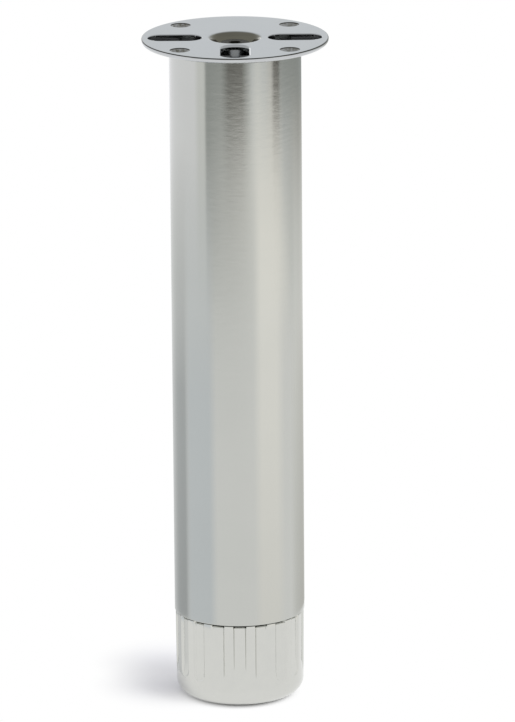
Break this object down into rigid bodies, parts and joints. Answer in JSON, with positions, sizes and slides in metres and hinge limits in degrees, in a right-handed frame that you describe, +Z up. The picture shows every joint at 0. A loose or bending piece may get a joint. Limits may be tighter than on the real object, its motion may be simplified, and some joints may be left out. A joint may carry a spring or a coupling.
{
  "type": "height adjustable table leg",
  "caption": "Round chromed tube leg with a slotted mounting plate on top and a fluted screw-in foot that sets the height.",
  "frame": {"origin": "on the leg's axis, on the floor under the glide", "axes": "+Z up along the tube; -Y is the front, where the plate's third slot lies"},
  "size_m": [0.085, 0.085, 0.3115],
  "materials": {
    "plate_chrome": "bright chrome plated stamped steel",
    "tube_chrome": "chrome plated over fine circumferential grinding",
    "foot_plating": "chrome plated moulded plastic",
    "glide_plastic": "dark polyethylene",
    "dark_steel": "black oxide",
    "zinc_steel": "bright zinc plated",
    "plug_plastic": "moulded nylon"
  },
  "bodies": {
    "leg": {"top_plate": "plate_chrome", "plate_pad": "plug_plastic", "plate_bolt": "dark_steel", "lock_washer": "dark_steel", "top_bridge": "zinc_steel", "bridge_nut": "zinc_steel", "tube": "tube_chrome", "bottom_plug": "plug_plastic", "spindle_nut": "zinc_steel"},
    "glide": {"glide": "glide_plastic"},
    "foot": {"foot": "foot_plating", "spindle": "zinc_steel", "foot_washer": "zinc_steel", "jam_nut": "zinc_steel"}
  },
  "joints": [
    {"name": "foot_slide", "type": "slide", "parent": "leg", "child": "glide", "axis": [0, 0, -1], "range_m": [0, 0.025]},
    {"name": "foot_turn", "type": "hinge", "parent": "glide", "child": "foot", "pos_m": [0, 0, 0], "axis": [0, 0, -1], "range_deg": [0, 6000]}
  ],
  "couplings": [
    {"joint": "foot_slide", "follows": "foot_turn", "m_per_rad": 0.00023873}
  ]
}
